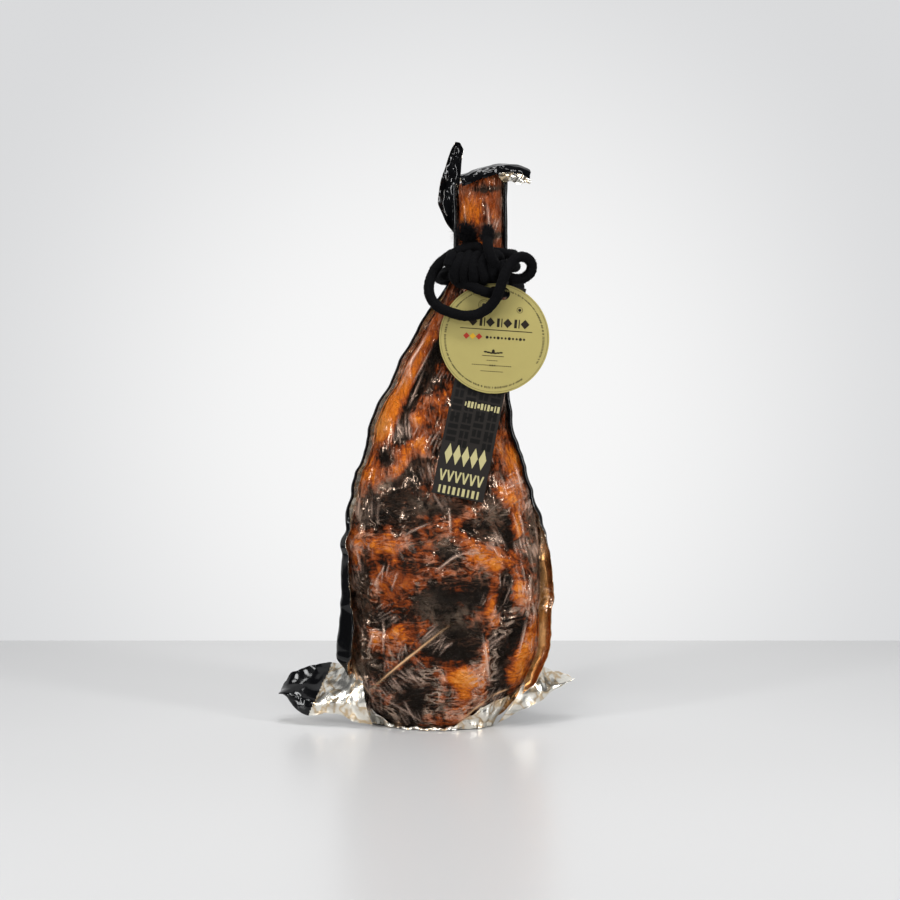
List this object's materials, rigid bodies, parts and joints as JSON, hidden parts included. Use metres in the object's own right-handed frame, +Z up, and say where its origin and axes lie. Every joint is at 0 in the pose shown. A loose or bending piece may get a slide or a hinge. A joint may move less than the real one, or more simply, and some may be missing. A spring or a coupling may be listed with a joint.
{
  "type": "bone-in cured ham in a vacuum pouch",
  "caption": "Bone-in cured ham without its hoof, standing on its butt end in a vacuum pouch, with a velvet cord, a round hang card and a long strip card at the neck.",
  "frame": {"origin": "on the surface that the ham stands on, under the middle of the box of ham and pouch", "axes": "+Z up along the ham from its butt end to its shank, +X to the right as seen from the film side, -Y the film side"},
  "size_m": [0.3372, 0.1349, 0.6561],
  "materials": {
    "cured_meat": "cured meat, fat and skin: amber and mahogany with near-black crust, oily and wrinkled",
    "clear_film": "clear, glossy, drawn tight and creased",
    "black_laminate": "glossy black outside, metallised pale gold inside, crumpled at the corners",
    "velvet": "black velvet pile",
    "cream_card": "satin card with fine printed rings and rules",
    "dark_card": "matt charcoal card with darker blocks and pale gold ornament"
  },
  "bodies": {
    "root": {"ham": "cured_meat", "pouch_front_film": "clear_film", "pouch_back_sheet": "black_laminate", "velvet_cord": "velvet", "round_card": "cream_card", "strip_card": "dark_card"}
  },
  "joints": []
}
